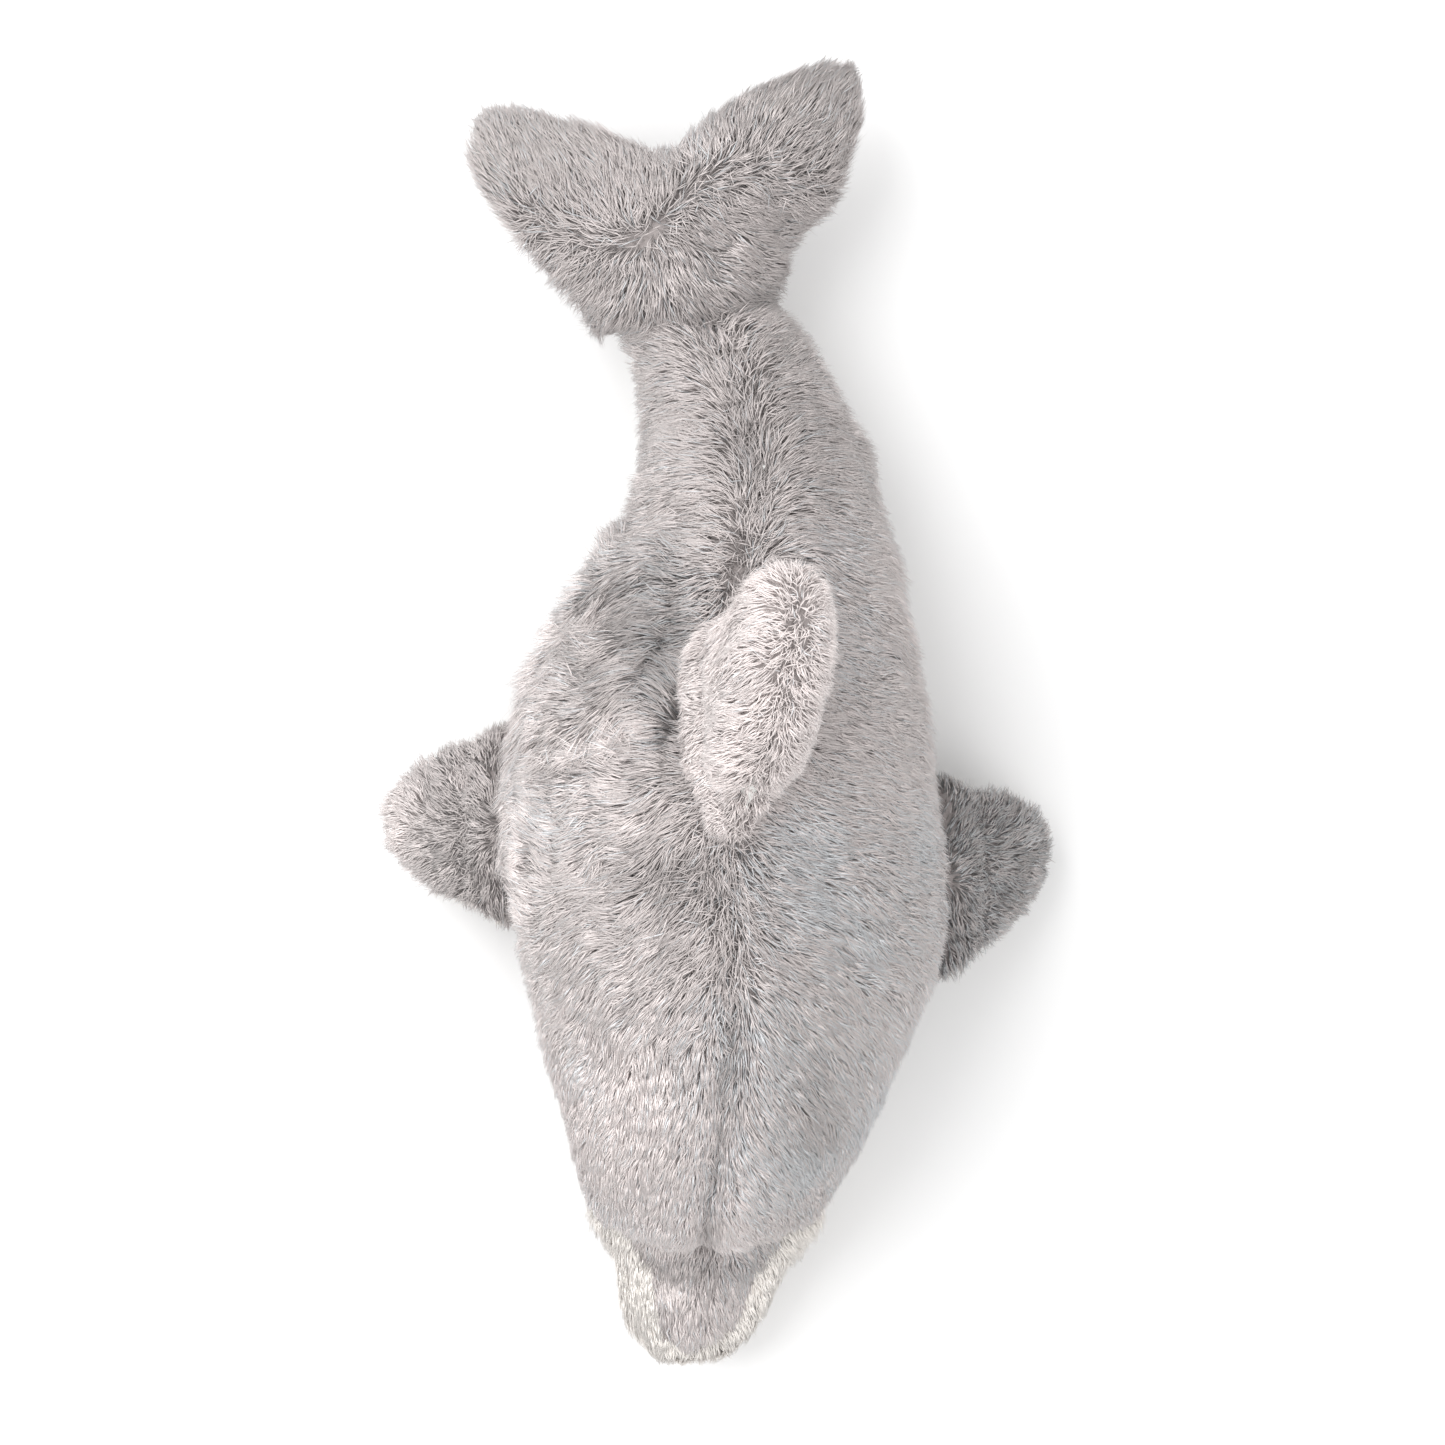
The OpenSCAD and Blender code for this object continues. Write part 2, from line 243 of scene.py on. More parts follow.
def inflate(co, faces, pinned, cap):
    obj = new_object("inflating", new_mesh("inflating", co, faces))
    group = obj.vertex_groups.new(name="pinned")
    for step in range(1, PIN_STEPS + 1):
        chosen = np.flatnonzero(np.round(pinned * PIN_STEPS) == step)
        group.add(chosen.tolist(), step / PIN_STEPS, "REPLACE")
    cloth = obj.modifiers.new("cloth", "CLOTH")
    cloth.settings.use_pressure = True
    cloth.settings.uniform_pressure_force = 4
    cloth.settings.quality = 4
    cloth.settings.mass = 0.2
    cloth.settings.tension_stiffness = 12
    cloth.settings.compression_stiffness = 12
    cloth.settings.bending_stiffness = 0.5
    cloth.settings.effector_weights.gravity = 0
    cloth.settings.vertex_group_mass = "pinned"
    cloth.collision_settings.use_collision = False
    cloth.point_cache.frame_start = 1
    cloth.point_cache.frame_end = FRAMES
    for frame_number in range(1, FRAMES + 1):
        bpy.context.scene.frame_set(frame_number)
    swollen, _ = take_result(obj)
    bpy.context.scene.frame_set(1)
    moved = swollen - co
    size = np.linalg.norm(moved, axis=1, keepdims=True)
    return co + moved * np.minimum(1, cap / np.maximum(size, 1e-9))


def vertex_normals(co, faces):
    p = co[faces]
    n = np.cross(p[:, 2] - p[:, 0], p[:, 3] - p[:, 1])
    out = np.zeros_like(co)
    for i in range(4):
        np.add.at(out, faces[:, i], n)
    return unit(out)


def distance_to(points, name):
    """Distance from each point to a CAD node's surface."""
    co, tri = node_arrays([name])
    tree = BVHTree.FromPolygons(co.tolist(), tri.tolist())
    return np.array([tree.find_nearest(p)[3] for p in points])


def value_noise(points, size, offset=0.0):
    """Smooth noise from -1 to 1 that varies over about the size given."""
    q = points / size + offset
    return np.array([noise.noise(Vector(p)) for p in q])


# ---------------------------------------------------------------- surfaces

def body_surface():
    """The body, the tail stem and the flukes as one skin, which closes the gaps at the joints."""
    torso_co, torso_faces = node_arrays(PANELS[TORSO] + ["body_filling"])
    stem_co, stem_faces = node_arrays(PANELS[STEM] + ["tail_filling"])
    fluke_co, fluke_faces = node_arrays(PANELS[FLUKES] + ["fluke_filling"])
    at_bend = np.vstack([torso_co[torso_co[:, 1] > BEND[1] - 13 * MM],
                         stem_co[stem_co[:, 1] < BEND[1] + 24 * MM]])
    behind = (stem_co - CREASE) @ FLUKE_BACK
    beyond = (fluke_co - CREASE) @ FLUKE_BACK
    at_crease = np.vstack([stem_co[behind > -9 * MM], fluke_co[beyond < 12 * MM]])
    to_right = (fluke_co - CREASE) @ CREASE_AXIS < 0
    right_corner = np.vstack([stem_co[behind > -16 * MM], fluke_co[to_right & (beyond < 22 * MM)]])
    joined = join_arrays([(torso_co, torso_faces), (stem_co, stem_faces), (fluke_co, fluke_faces),
                          hull_arrays(at_bend), hull_arrays(at_crease), hull_arrays(right_corner)])
    co, faces = voxel_union(*joined, VOXEL)
    edges = edges_of(faces)
    co = relax(co, edges, 10)
    return co, faces, edges


def shape_head(co, normals, middle):
    """Rounds the melon's front edge over the beak, pulls a fold in under it and stretches the beak."""
    x, y, z = co.T
    across = (x - middle(y)) / (46 * MM)
    facing = np.clip(-normals[:, 1], 0, 1)
    front = smoothstep(-y, 0.160, 0.195) * smoothstep(z, 0.050, 0.070)
    lobes = 2 - 17 * np.minimum(across ** 2, 1) - 3.5 * bump(across, 0.11)
    push = lobes * MM * front * facing
    fold = 9 * MM * bump(y + 0.203, 6 * MM) * bump(z - 0.052, 8 * MM) * facing
    stretch = 4.5 * MM * smoothstep(-y, 0.208, 0.240) * smoothstep(-z, -0.058, -0.048)
    out = co.copy()
    out[:, 1] += fold - push - stretch
    return out


def spine_x(co):
    """Place of the back's middle line along X, as a function of Y."""
    low, high, step = co[:, 1].min() + 1 * MM, CREASE[1], 6 * MM
    ys = np.arange(low, high, step)
    xs = []
    for y in ys:
        near = co[np.abs(co[:, 1] - y) < step]
        xs.append((near[:, 0].min() + near[:, 0].max()) / 2)
    xs = np.convolve(np.pad(xs, 2, mode="edge"), np.ones(5) / 5, mode="valid")
    return lambda y: np.interp(y, ys, xs)


def from_eyes(co):
    """Distance of each point to the nearer eye, and the way straight from that eye."""
    away = [co - np.mean(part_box(n), axis=0) for n in ("left_eye", "right_eye")]
    far = [np.linalg.norm(a, axis=1) for a in away]
    left_is_nearer = (far[0] < far[1])[:, None]
    return np.minimum(*far), unit(np.where(left_is_nearer, *away))


# ---------------------------------------------------------------- materials

def principled(name, colour, roughness):
    mat = bpy.data.materials.new(name)
    mat.use_nodes = True
    shader = mat.node_tree.nodes["Principled BSDF"]
    shader.inputs["Base Color"].default_value = (*colour, 1)
    shader.inputs["Roughness"].default_value = roughness
    return mat, mat.node_tree, shader


def srgb(*levels):
    """Linear colour from display levels of 0 to 255."""
    c = np.array(levels, float) / 255
    return tuple(np.where(c <= 0.04045, c / 12.92, ((c + 0.055) / 1.055) ** 2.4))


# Display levels of the darkest and the lightest pile, and the share of red, green and blue in each tint
TONES = 9
DARKEST, LIGHTEST = 128, 252
TINTS = {"warm": (1.0, 0.962, 0.953), "cool": (0.973, 0.979, 0.989), "cream": (1.0, 0.979, 0.958)}


def uneven_gloss(tree, shader, scale, low, high):
    """Roughness that varies from low to high over the surface. Returns the texture that it follows."""
    where = tree.nodes.new("ShaderNodeTexCoord")
    grain = tree.nodes.new("ShaderNodeTexNoise")
    grain.inputs["Scale"].default_value = scale
    grain.inputs["Detail"].default_value = 2
    span = tree.nodes.new("ShaderNodeMapRange")
    span.inputs["From Min"].default_value = 0.3
    span.inputs["From Max"].default_value = 0.7
    span.inputs["To Min"].default_value = low
    span.inputs["To Max"].default_value = high
    tree.links.new(where.outputs["Object"], grain.inputs["Vector"])
    tree.links.new(grain.outputs["Fac"], span.inputs["Value"])
    tree.links.new(span.outputs["Result"], shader.inputs["Roughness"])
    return grain


def fine_relief(tree, shader, height, strength, depth):
    """Small bumps that follow the output of a texture."""
    relief = tree.nodes.new("ShaderNodeBump")
    relief.inputs["Strength"].default_value = strength
    relief.inputs["Distance"].default_value = depth
    tree.links.new(height, relief.inputs["Height"])
    tree.links.new(relief.outputs["Normal"], shader.inputs["Normal"])


def pile_palette():
    """One material for each tone and tint of the pile."""
    made = {}
    for tint, scale in TINTS.items():
        for i in range(TONES):
            level = DARKEST + (LIGHTEST - DARKEST) * i / (TONES - 1)
            colour = srgb(*[min(level * s, 255) for s in scale])
            mat, tree, shader = principled(f"pile_{tint}_{i}", colour, 0.42)
            uneven_gloss(tree, shader, 350, 0.44, 0.64)
            shader.inputs["Sheen Weight"].default_value = 0.2
            shader.inputs["Sheen Roughness"].default_value = 0.4
            shader.inputs["Specular IOR Level"].default_value = 0.4
            made[tint, i] = mat
    return made


def cloth_material(name, dark, light):
    """Knitted backing cloth: rows of small loops under a mottled colour."""
    mat, tree, shader = principled(name, light, 0.9)
    nodes, links = tree.nodes, tree.links
    where = nodes.new("ShaderNodeTexCoord")
    mottle = nodes.new("ShaderNodeTexNoise")
    mottle.inputs["Scale"].default_value = 60
    mottle.inputs["Detail"].default_value = 6
    ramp = nodes.new("ShaderNodeValToRGB")
    ramp.color_ramp.elements[0].color = (*dark, 1)
    ramp.color_ramp.elements[1].color = (*light, 1)
    ramp.color_ramp.elements[0].position = 0.3
    ramp.color_ramp.elements[1].position = 0.7
    loops = nodes.new("ShaderNodeTexVoronoi")
    loops.inputs["Scale"].default_value = 900
    links.new(where.outputs["Object"], mottle.inputs["Vector"])
    links.new(where.outputs["Object"], loops.inputs["Vector"])
    links.new(mottle.outputs["Fac"], ramp.inputs["Fac"])
    links.new(ramp.outputs["Color"], shader.inputs["Base Color"])
    fine_relief(tree, shader, loops.outputs["Distance"], 0.6, 0.4 * MM)
    return mat


GREY_CLOTH = cloth_material("grey_backing", srgb(138, 131, 130), srgb(172, 164, 162))
CREAM_CLOTH = cloth_material("cream_backing", srgb(236, 229, 221), srgb(250, 245, 238))
FIBRE = cloth_material("filling_fibre", srgb(225, 225, 222), srgb(248, 248, 245))
PALETTE = pile_palette()


# ---------------------------------------------------------------- cloth panels

def cloth_piece(name, surface, chosen, material):
    """A panel of cloth with a real thickness, from the chosen faces of a surface."""
    co, faces, normals = surface["co"], surface["faces"], surface["normals"]
    faces = faces[chosen]
    used, inverse = np.unique(faces, return_inverse=True)
    faces = inverse.reshape(faces.shape)
    outer, n = co[used], normals[used]
    count = len(used)
    directed = np.vstack([faces[:, [i, (i + 1) % 4]] for i in range(4)])
    keys = {(a, b) for a, b in directed.tolist()}
    rim = [(a, b) for a, b in keys if (b, a) not in keys]
    walls = [[b, a, a + count, b + count] for a, b in sorted(rim)]
    all_faces = faces.tolist() + (faces[:, ::-1] + count).tolist() + walls
    mesh = new_mesh(name, np.vstack([outer, outer - n * CLOTH]), all_faces)
    mesh.materials.append(material)
    return new_object(name, mesh)


# ---------------------------------------------------------------- pile

def sample(surface, chosen, density):
    """Random places on the chosen faces, as triangles and the weights of their corners."""
    quads = surface["faces"][chosen]
    tri = np.vstack([quads[:, [0, 1, 2]], quads[:, [0, 2, 3]]])
    p = surface["co"][tri]
    area = np.linalg.norm(np.cross(p[:, 1] - p[:, 0], p[:, 2] - p[:, 0]), axis=1) / 2
    thick = area * surface["cover"][tri].mean(1)
    total = int(thick.sum() * density)
    pick = np.sort(RNG.choice(len(tri), total, p=thick / thick.sum()))
    u, v = RNG.random(total), RNG.random(total)
    over = u + v > 1
    u[over], v[over] = 1 - u[over], 1 - v[over]
    weights = np.stack([1 - u - v, u, v], 1)
    return tri[pick], weights


def mix(values, tri, weights):
    """Values per vertex, read at places that sample() gave."""
    return np.einsum("ij,ij...->i...", weights, values[tri])


def grow(surface, chosen, density):
    """Strands of pile on the chosen faces. Returns their points, tones, shares of cool grey and shades."""
    tri, w = sample(surface, chosen, density)
    root = mix(surface["co"], tri, w)
    normal = unit(mix(surface["normals"], tri, w))
    comb = mix(surface["comb"], tri, w)
    length = mix(surface["length"], tri, w) * RNG.uniform(0.75, 1.2, len(root))
    tone = mix(surface["tone"], tri, w)
    cool = mix(surface["cool"], tri, w)
    lean = mix(surface["lean"], tri, w)
    shade = mix(surface["shade"], tri, w)
    spread = mix(surface["spread"], tri, w)[:, None]
    wild = mix(surface["wild"], tri, w)
    count = len(root)
    comb = unit(comb - normal * np.sum(comb * normal, 1, keepdims=True))
    comb = comb + spread * RNG.normal(size=(count, 3))
    comb = unit(comb - normal * np.sum(comb * normal, 1, keepdims=True))
    # Each strand belongs to the tuft of the nearest leader
    leaders = RNG.choice(count, max(1, count // TUFT), replace=False)
    tree = KDTree(len(leaders))
    for i, leader in enumerate(leaders):
        tree.insert(root[leader], i)
    tree.balance()
    tuft = np.array([tree.find(p)[1] for p in root])
    near = leaders[tuft]
    # Tufts lie in locks; the raised ones are painted lighter and the gaps between them darker: painted light
    # and shade
    lock = value_noise((root + comb * length[:, None] * 0.6)[leaders], LOCK, 110.0)
    varied = RNG.uniform(-0.4, 0.5, len(leaders)) * (0.3 + 0.7 * np.minimum(wild[leaders], 1))
    tuft_lean = np.maximum(1 + varied + 0.8 * lock * wild[leaders], 0.2)[tuft]
    rise = (lean * tuft_lean * RNG.uniform(0.8, 1.2, count))[:, None]
    sideways = np.cross(normal, comb) * (RNG.normal(size=(count, 1)) * CURL)
    middle = root + unit(normal * rise + comb) * (length * 0.5)[:, None] + sideways
    tip = middle + unit(normal * rise * 0.35 + comb) * (length * 0.55)[:, None] - sideways * 1.5
    target = tip[near] + RNG.normal(size=(count, 3)) * TIP_STRAY
    reach = np.linalg.norm(target - tip, axis=1, keepdims=True)
    pull = RNG.uniform(0.25, 0.75, (count, 1)) * np.clip(TIP_DRAW / np.maximum(reach, 1e-6), 0, 1)
    tip = tip + (target - tip) * pull
    middle = middle + (target - tip) * pull * 0.25
    # Each tuft's tone: random, plus the painted light and shade of its lock
    tuft_tone_and_lock_shade = 0.035 * RNG.normal(size=len(leaders)) + 0.22 * lock * wild[leaders]
    tone = tone + (0.035 * RNG.normal(size=count) + tuft_tone_and_lock_shade[tuft]) * (0.4 + 0.6 * wild)
    return {"root": root - normal * ROOT_DEPTH, "middle": middle, "tip": tip, "normal": normal,
            "tone": tone, "cool": cool, "shade": shade}


def strand_rings(s):
    """Three corners at the root, three at the middle and the tip of each strand."""
    way = unit(s["tip"] - s["root"])
    side = unit(np.cross(s["normal"], way))
    up = np.cross(way, side)
    half = (STRAND_WIDTH / 2 * (0.75 + 0.5 * RNG.random(len(way))))[:, None]
    corners = []
    for centre, share in ((s["root"], 1.0), (s["middle"], 0.85)):
        wide, high = side * half * share, up * half * share * 0.6
        corners += [centre + wide, centre + high, centre - wide]
    corners.append(s["tip"])
    points = np.stack(corners, 1)
    points[..., 2] = np.maximum(points[..., 2], FLOOR_GAP)
    return points


# Corners of a strand, its three lower sides, and the three sides of its tip with the face under its root
CORNERS = 7
QUADS = np.array([[0, 1, 4, 3], [1, 2, 5, 4], [2, 0, 3, 5]])
TIPS = np.array([[3, 4, 6], [4, 5, 6], [5, 3, 6], [2, 1, 0]])


def tone_step(tone):
    """Number of the palette's tone that is nearest to a tone from 0 to 1."""
    return np.clip(np.round(tone * (TONES - 1)), 0, TONES - 1).astype(int)


def pile_object(name, strands, keep, cream):
    """One mesh of strands, with its tone by face."""
    s = {k: v[keep] for k, v in strands.items()}
    points = strand_rings(s)
    count = len(points)
    base = (np.arange(count) * CORNERS)[:, None, None]
    quads = (QUADS[None] + base).reshape(-1, 4)
    tips = (TIPS[None] + base).reshape(-1, 3)
    mesh = bpy.data.meshes.new(name)
    mesh.vertices.add(count * CORNERS)
    mesh.vertices.foreach_set("co", points.reshape(-1).astype(np.float32))
    corners = np.concatenate([quads.ravel(), tips.ravel()]).astype(np.int32)
    mesh.loops.add(len(corners))
    mesh.loops.foreach_set("vertex_index", corners)
    sizes = np.concatenate([np.full(len(quads), 4), np.full(len(tips), 3)])
    starts = np.concatenate([[0], np.cumsum(sizes)[:-1]])
    mesh.polygons.add(len(sizes))
    mesh.polygons.foreach_set("loop_start", starts.astype(np.int32))
    mesh.polygons.foreach_set("use_smooth", np.ones(len(sizes), bool))
    # Tones: each strand is darker along its lower half
    tone = np.maximum(s["tone"] + CREAM_TONE, DARKEST_CREAM) if cream else s["tone"]
    low = tone_step(tone - s["shade"] * (1 - 0.8 * cream))
    high = tone_step(tone + TIP_SHADE)
    slots, names = {}, list(TINTS)
    if cream:
        tint = np.full(count, names.index("cream"))
    else:
        is_cool = RNG.random(count) < s["cool"]
        tint = np.where(is_cool, names.index("cool"), names.index("warm"))
    wanted = np.concatenate([np.repeat(tint * TONES + low, 3),
                             np.stack([tint * TONES + high] * 3 + [tint * TONES + low], 1).ravel()])
    for code in np.unique(wanted):
        slots[code] = len(mesh.materials)
        mesh.materials.append(PALETTE[names[code // TONES], int(code % TONES)])
    lookup = np.zeros(len(TINTS) * TONES, np.int32)
    for code, slot in slots.items():
        lookup[code] = slot
    mesh.polygons.foreach_set("material_index", lookup[wanted])
    mesh.update(calc_edges=True)
    return new_object(name, mesh)


def pile(name, surface, chosen, cream, attach):
    """The pile of one panel, split along Y into pieces of a moderate size."""
    strands = grow(surface, chosen, DENSITY * (1))
    if "skip" in surface:
        strands = {k: v[~surface["skip"](strands)] for k, v in strands.items()}
    order = np.argsort(strands["root"][:, 1], kind="stable")
    parts = max(1, math.ceil(len(order) / CHUNK))
    for i, keep in enumerate(np.array_split(order, parts)):
        piece_name = f"{name}_pile_{i + 1}" if parts > 1 else f"{name}_pile"
        piece = pile_object(piece_name, strands, np.sort(keep), cream)
        CREAM_SLOT if cream else GREY_SLOT
        attach(piece)


def furry_panel(name, surface, chosen, cream, attach):
    """The cloth of one CAD panel, and its pile."""
    piece = cloth_piece(name + "_cloth", surface, chosen, CREAM_CLOTH if cream else GREY_CLOTH)
    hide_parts(name)
    CREAM_SLOT if cream else GREY_SLOT
    attach(piece)
    pile(name, surface, chosen, cream, attach)


# ---------------------------------------------------------------- body, tail and flukes

def on_bend(piece):
    start, end = BEND + (0, BEND_START, 0), BEND + (0, BEND_END, 0)
    tuple(start)
    tuple(end)
    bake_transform(piece)


def on_crease(piece):
    start, end = CREASE + FLUKE_BACK * CREASE_START, CREASE + FLUKE_BACK * CREASE_END
    tuple(start)
    tuple(end)
    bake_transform(piece)


def on_flukes(piece):
    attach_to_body(piece, "flukes")


def turned(vectors, axes, angle):
    """Vectors turned about unit axes. Their part along the axis isn't kept, because grow() drops it."""
    c, s = np.cos(angle)[:, None], np.sin(angle)[:, None]
    return vectors * c + np.cross(axes, vectors) * s


def nearest_panels(co, zones, middle):
    """The panel that covers each point of the body's skin, and the distance to the next one, which is 0
    on a seam."""
    y = co[:, 1]
    names = sum(PANELS.values(), [])
    far = np.array([distance_to(co, n) for n in names])
    # The torso's cloth covers the start of the stem, so the stem's panels stand in for it there
    for torso_name, stem_name in zip(PANELS[TORSO], PANELS[STEM]):
        row = names.index(torso_name)
        far[row] = np.minimum(far[row], far[names.index(stem_name)])
    # The cream cloth comes further up the right side of the beak than the left
    on_beak = smoothstep(-y, 0.200, 0.212)
    at_tip = smoothstep(-y, 0.228, 0.238)
    belly = names.index("belly_panel")
    far[belly] -= np.maximum(on_beak * np.where(co[:, 0] < middle(y), 5, 2), 9 * at_tip) * MM
    far[belly] = np.maximum(far[belly], 0)
    panel = np.zeros(len(co), int)
    seam = np.zeros(len(co))
    for zone, zone_names in PANELS.items():
        rows = [names.index(n) for n in zone_names]
        here = zones == zone
        part = far[rows][:, here]
        panel[here] = np.array(rows)[part.argmin(0)]
        seam[here] = np.sort(part, axis=0)[1]
    return panel, seam


def body_pieces():
    """The skin of the body, the tail stem and the flukes, with its pile."""
    co, faces, edges = body_surface()
    normals = vertex_normals(co, faces)
    middle = spine_x(co)
    y = co[:, 1]
    back = (co - CREASE) @ FLUKE_BACK
    is_torso = y < BEND[1] + BEND_END
    zones = np.where(back > CREASE_END, FLUKES, np.where(is_torso, TORSO, STEM))
    panel, seam = nearest_panels(co, zones, middle)
    # Stuffed out between the seams, which pull in, with a fold at the root of the flukes
    resting = smoothstep(-co[:, 2], -5 * MM, -2 * MM)
    co = shape_head(co, normals, middle)
    at_eye = bump(from_eyes(co)[0], EYE_HOLLOW)
    pinned = np.maximum(np.maximum(bump(seam, 4 * MM), resting), at_eye)
    co = inflate(co, faces, pinned, BODY_SWELL)
    spine = np.abs(co[:, 0] - middle(co[:, 1])) < 14 * MM
    spine &= (normals[:, 2] > 0.3) & (zones != FLUKES)
    along_spine = smoothstep(-y, 0.09, 0.13) + smoothstep(y, 0.05, 0.09)
    pucker = (2.4 + 2.6 * along_spine * spine) * MM * bump(seam, 5 * MM) * (zones != FLUKES)
    pucker += 1.0 * MM * bump(seam, 4 * MM) * (zones == FLUKES)
    lumps = 1.8 * MM * value_noise(co, 42 * MM) + 0.9 * MM * value_noise(co, 17 * MM, 5.0)
    lumps += 2.2 * MM * value_noise(co, 10 * MM, 7.0) * shaggy(co) * smoothstep(normals[:, 2], 0.3, 0.7)
    crease = 4.5 * MM * bump(back, 5 * MM) * (np.abs(back) < 30 * MM)
    lumps *= 1 - at_eye
    underside = smoothstep(-normals[:, 2], 0.5, 0.95)
    on_fluke = smoothstep(back, -6 * MM, 8 * MM) * (zones != TORSO)
    inset = BODY_INSET + (SKIN_INSET - BODY_INSET) * np.maximum(underside, on_fluke) - EYE_DEPTH * at_eye
    co = co + normals * (lumps - inset - pucker - crease - dents(co, normals))[:, None]
    co = relax(co, edges, 2)
    co[:, 2] = np.maximum(co[:, 2], CLOTH_FLOOR)
    normals = vertex_normals(co, faces)
    surface = {"co": co, "faces": faces, "normals": normals, "seam": seam, "zones": zones}
    comb_body(surface, middle, back)
    face_panel = panel[faces[:, 0]]
    row = 0
    for zone, attach in ((TORSO, on_bend), (STEM, on_crease), (FLUKES, on_flukes)):
        for name in PANELS[zone]:
            furry_panel(name, surface, face_panel == row, name in CREAM_PANELS, attach)
            row += 1


# Places on the back, in millimetres along X and Y from the middle of the dorsal fin's hinge, each with its
# reach along X and Y. These hollows end with their depth: right of the fin's root, behind it, in front of
# it, on the crown and on the tail stem
# comb_body also darkens the pile in these hollows by their depth: painted shade
DENTS = [((-17, 10), (13, 32), 5), ((-36, 34), (26, 26), 4), ((-18, -54), (16, 11), 4),
         ((1, -117), (3.5, 11), 4), ((5, 94), (7, 12), 2)]

# These patches end with how much lighter their pile is, or darker below 0: left and right of the head, left
# of the tail stem and right of the back
# These patches are painted light and shade: the lighter ones lie on the right, where the key lamp shines, the
# darker ones on the left, away from it
LIT_AND_SHADED_PATCHES = [((26, -142), (13, 32), -0.2), ((-40, -140), (26, 42), 0.13), ((34, 94), (16, 20), -0.04),
           ((-58, -35), (26, 45), 0.07)]


def spot(co, place, reach):
    """A soft area of the back, from 1 at its middle to 0."""
    q = (co[:, :2] - FIN_HINGE[:2] - np.array(place) * MM) / (np.array(reach) * MM)
    return np.exp(-np.sum(q * q, 1))


def dents(co, normals):
    """Depth of the hollows at each point of the upper side."""
    return sum(depth * MM * spot(co, place, reach) * (normals[:, 2] > 0) for place, reach, depth in DENTS)


def fluke_comb(co):
    """The pile of the flukes parts along a wavy line across them and runs to the edges. Returns its way
    and how upright it stands."""
    along = (co - CREASE) @ FLUKE_BACK
    across = (co - CREASE) @ CREASE_AXIS
    line = along - 41 * MM - 8 * MM * np.sin(across / (13 * MM)) - 5 * MM * value_noise(co, 16 * MM, 97.0)
    up = np.tanh(line / (3 * MM))
    out = 0.35 + np.clip(across / (30 * MM), -1.3, 1.3) * (1 - 0.5 * np.clip(up, 0, 1))
    up = np.where(up < 0, 0.7 * up, 0.9 * up)
    way = np.outer(up, FLUKE_BACK) + np.outer(out, CREASE_AXIS)
    return way, 0.35 * bump(line, 6 * MM)


def shaggy(co):
    """Where the pile is most ruffled: on the right of the back, beside the dorsal fin."""
    return bump(co[:, 1] - FIN_HINGE[1], 0.08) * smoothstep(FIN_HINGE[0] - co[:, 0], 0.0, 0.02)


